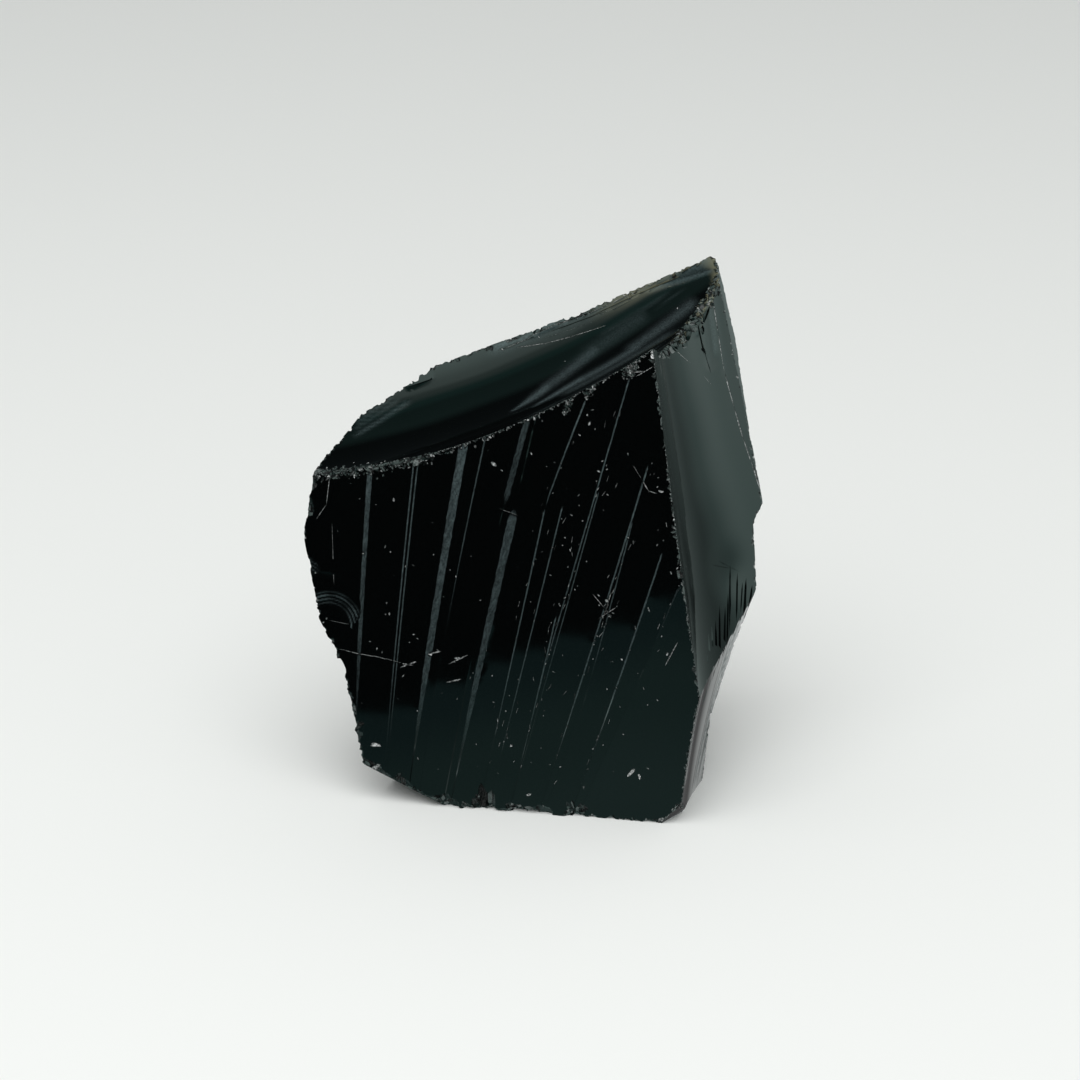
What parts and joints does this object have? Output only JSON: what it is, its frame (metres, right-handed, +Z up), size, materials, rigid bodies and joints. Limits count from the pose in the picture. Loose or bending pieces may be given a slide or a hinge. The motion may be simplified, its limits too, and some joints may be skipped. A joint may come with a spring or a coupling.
{
  "type": "obsidian chunk",
  "caption": "Raw chunk of black volcanic glass: a large flat front break, a shell-shaped slope up to a thin peak, and a flat foot to stand on.",
  "frame": {"origin": "on the ground, under the middle of the stone's bounding box", "axes": "+Z up, the stone's longest way; the big flat front break looks along -Y; the peak is on the +X side"},
  "size_m": [0.056, 0.0366, 0.0623],
  "materials": {
    "obsidian": "natural conchoidal break, glossy black, crushed grey along the edges"
  },
  "bodies": {
    "root": {"obsidian_chunk": "obsidian"}
  },
  "joints": []
}
